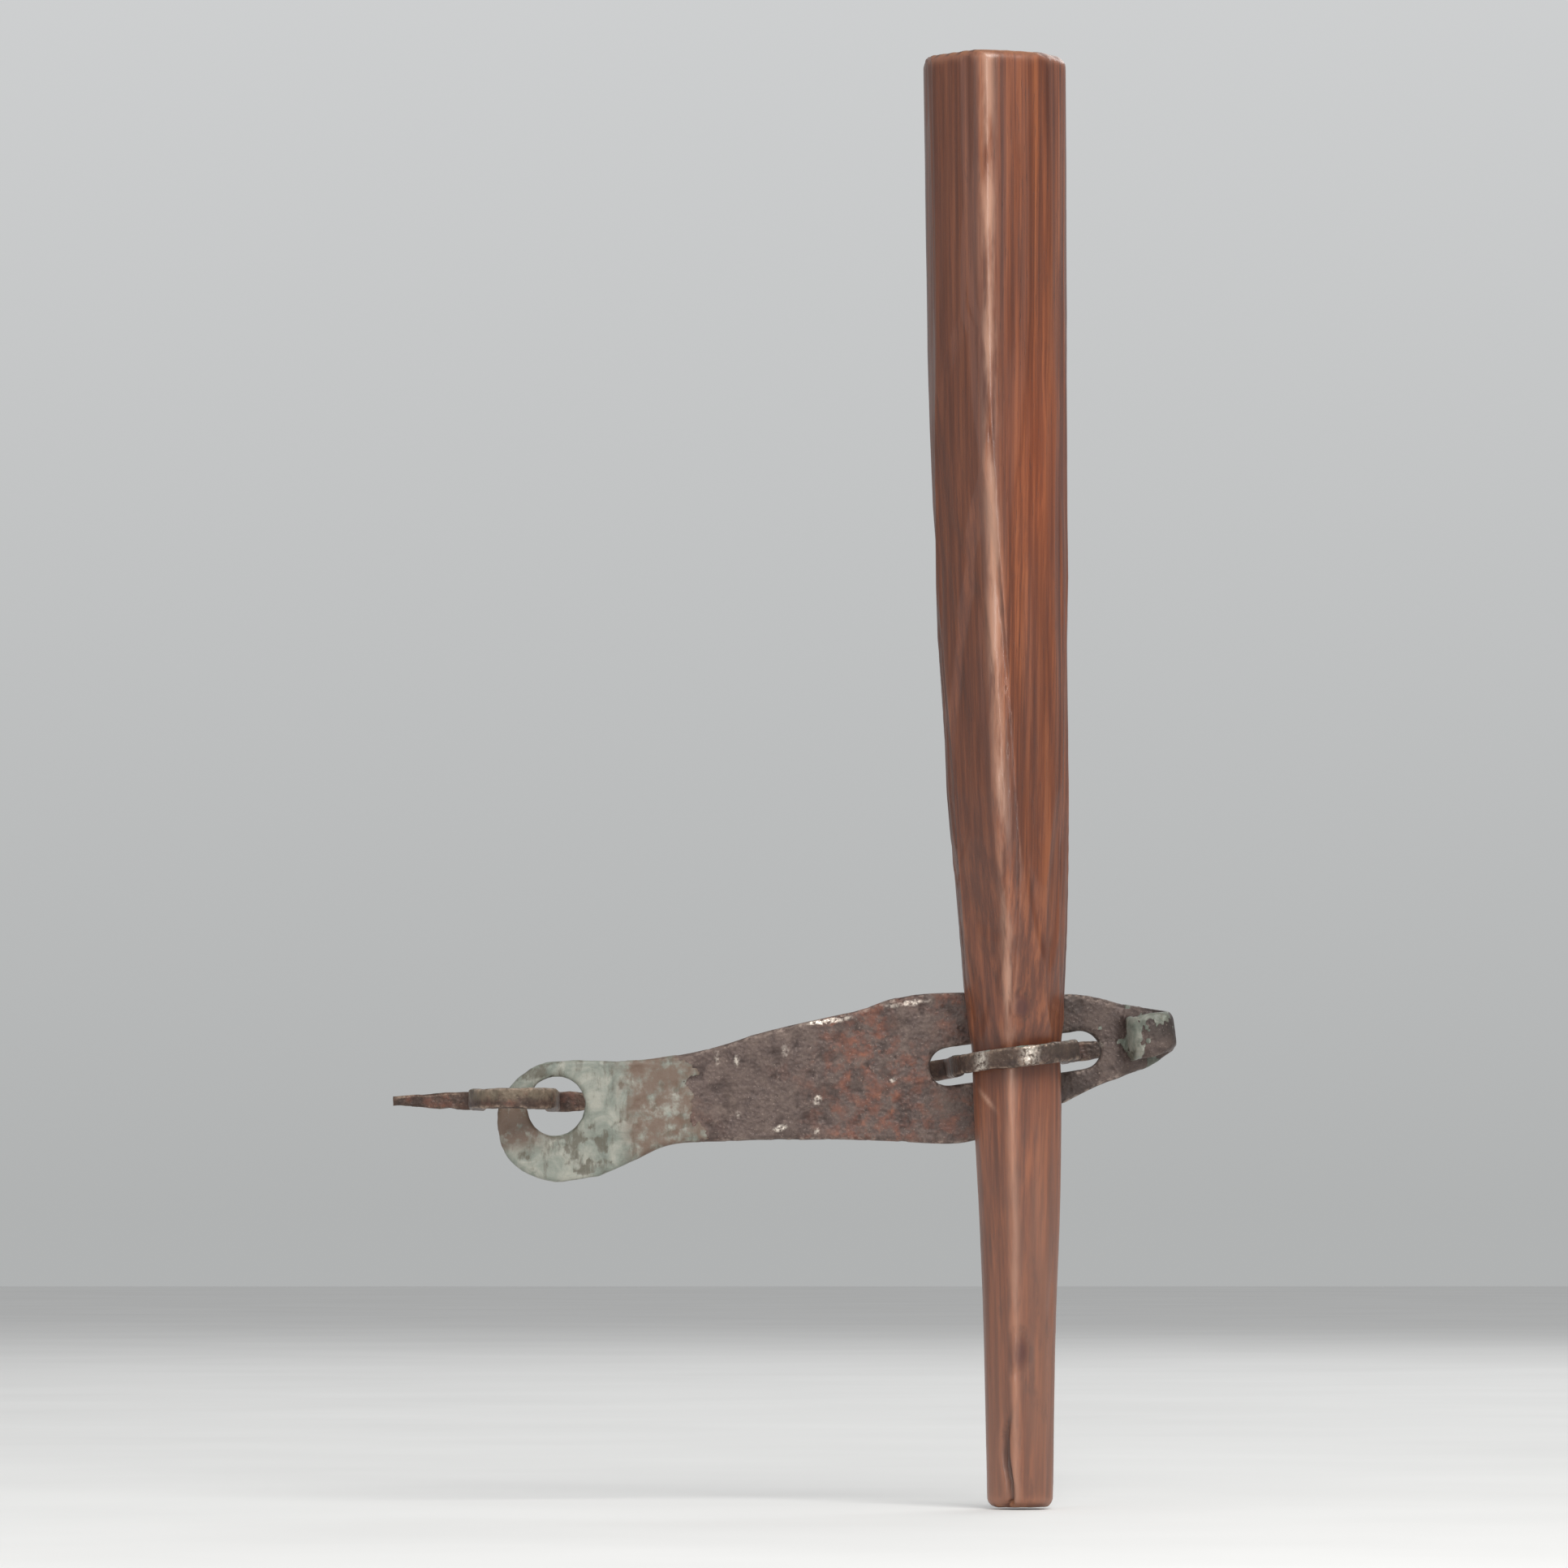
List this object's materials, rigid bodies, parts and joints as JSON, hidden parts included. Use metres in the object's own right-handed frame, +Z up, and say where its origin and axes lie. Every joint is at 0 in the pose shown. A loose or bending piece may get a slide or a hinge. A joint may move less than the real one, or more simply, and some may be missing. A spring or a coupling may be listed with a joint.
{
  "type": "hasp and staple door latch",
  "caption": "Forged iron strap hasp on a pivot staple, closing over a keeper staple across two door leaves and locked by a tapered wooden peg.",
  "frame": {"origin": "on the hinge line, on the back face of the hasp where it lies on the leaf, level with the pivot staple", "axes": "+Z up along the peg, +Y into the door leaves, +X from the pivot staple towards the hasp's tip"},
  "size_m": [0.1306, 0.0512, 0.2378],
  "materials": {
    "hasp_iron": "hammered wrought iron, dull brown rust, old paint on the eye",
    "staple_iron": "dark forged iron, worn bright on the crown",
    "peg_wood": "whittled hardwood, hand polished"
  },
  "bodies": {
    "pivot": {"pivot_staple": "staple_iron"},
    "hasp": {"hasp": "hasp_iron"},
    "keeper": {"keeper_staple": "staple_iron"},
    "peg": {"peg": "peg_wood"}
  },
  "joints": [
    {"name": "hasp_swing", "type": "hinge", "parent": "pivot", "child": "hasp", "pos_m": [0, -0.0034, 0], "axis": [0, 0, -1], "range_deg": [0, 175]},
    {"name": "keeper_play", "type": "slide", "parent": "hasp", "child": "keeper", "axis": [0.9914, 0, 0.1305], "range_m": [-0.0027, 0.0027]},
    {"name": "peg_lift", "type": "slide", "parent": "keeper", "child": "peg", "axis": [0, 0, 1], "range_m": [0, 0.1]}
  ]
}
